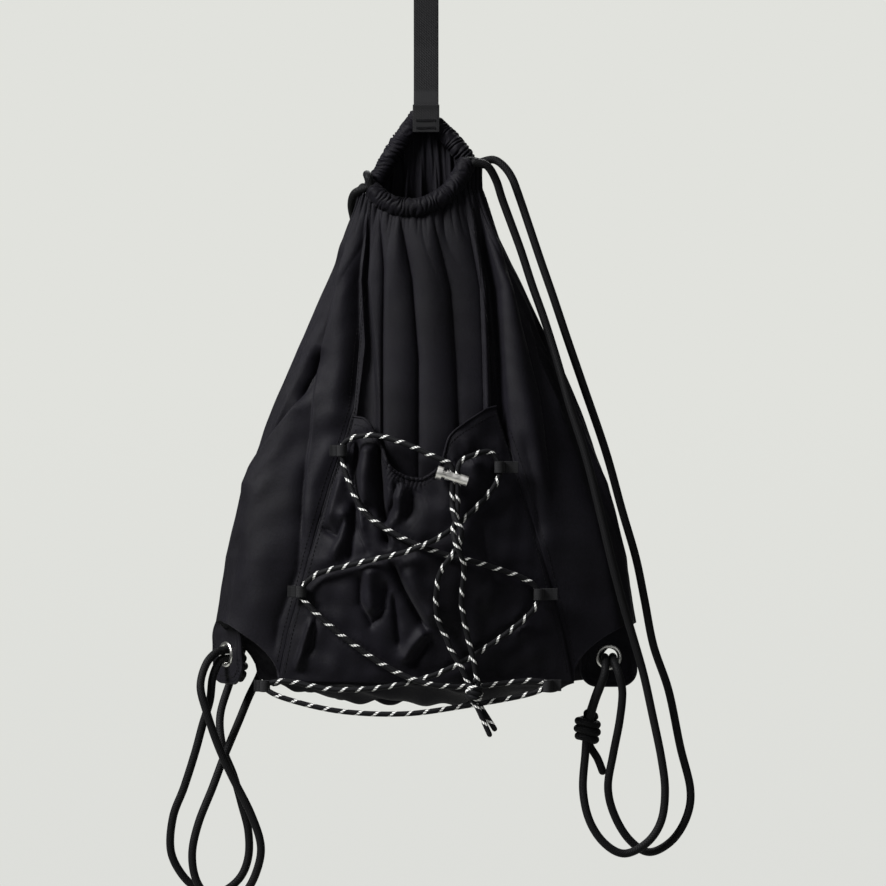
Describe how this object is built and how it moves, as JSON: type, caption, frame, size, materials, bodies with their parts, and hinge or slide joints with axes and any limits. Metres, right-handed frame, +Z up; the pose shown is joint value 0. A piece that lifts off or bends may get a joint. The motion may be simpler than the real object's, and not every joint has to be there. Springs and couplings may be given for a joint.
{
  "type": "drawstring backpack",
  "caption": "Drawstring backpack in black nylon with a gathered mouth, corner eyelets, shoulder cords and a bungee-laced front pocket closed by a metal toggle.",
  "frame": {"origin": "top inside of the hanging loop, where a hook bears", "axes": "+Z up, the front faces -Y, +X to the right seen from the front"},
  "size_m": [0.4225, 0.1243, 0.7368],
  "materials": {
    "nylon": "crinkled plain-weave nylon",
    "gathered_nylon": "plain-weave nylon, finely gathered",
    "elastic": "elastic inside gathered nylon",
    "webbing": "flat woven webbing",
    "drawcord": "braided polyester",
    "bungee": "braided sheath with reflective flecks",
    "eyelet_metal": "nickel-plated, polished",
    "toggle_metal": "turned and polished",
    "spring_steel": "drawn wire"
  },
  "bodies": {
    "root": {"front_panel": "nylon", "side_panel_right": "nylon", "back_panel": "nylon", "side_panel_left": "nylon", "bottom_panel": "nylon", "front_pocket": "nylon", "pocket_elastic": "elastic", "casing_front": "gathered_nylon", "casing_back": "gathered_nylon", "hang_strap": "webbing", "strap_bar_tacks": "webbing", "corner_tab_left": "nylon", "corner_tab_right": "nylon", "eyelet_left": "eyelet_metal", "eyelet_right": "eyelet_metal", "eyelet_washer_left": "eyelet_metal", "eyelet_washer_right": "eyelet_metal", "drawcord_run_left": "drawcord", "drawcord_run_right": "drawcord", "drawcord_left_inner": "drawcord", "drawcord_left_outer": "drawcord", "drawcord_right_inner": "drawcord", "drawcord_right_outer": "drawcord", "drawcord_knot_left": "drawcord", "drawcord_knot_right": "drawcord", "bungee_lacing": "bungee", "bungee_tail_left": "bungee", "bungee_tail_right": "bungee", "bungee_knot": "bungee", "anchor_top_left": "webbing", "anchor_top_right": "webbing", "anchor_mid_left": "webbing", "anchor_mid_right": "webbing", "anchor_low_left": "webbing", "anchor_low_right": "webbing"},
    "toggle": {"toggle_barrel": "toggle_metal", "toggle_end_cap": "toggle_metal", "toggle_spring": "spring_steel"},
    "plunger": {"toggle_plunger": "toggle_metal"}
  },
  "joints": [
    {"name": "toggle_slide", "type": "slide", "parent": "root", "child": "toggle", "axis": [0, 0, -1], "range_m": [0, 0.01]},
    {"name": "toggle_press", "type": "slide", "parent": "toggle", "child": "plunger", "axis": [0.9563, 0, -0.2924], "range_m": [0, 0.0025], "stiffness_N_per_m": 400, "springref_m": -0.002, "deforming": ["toggle_spring"]}
  ]
}
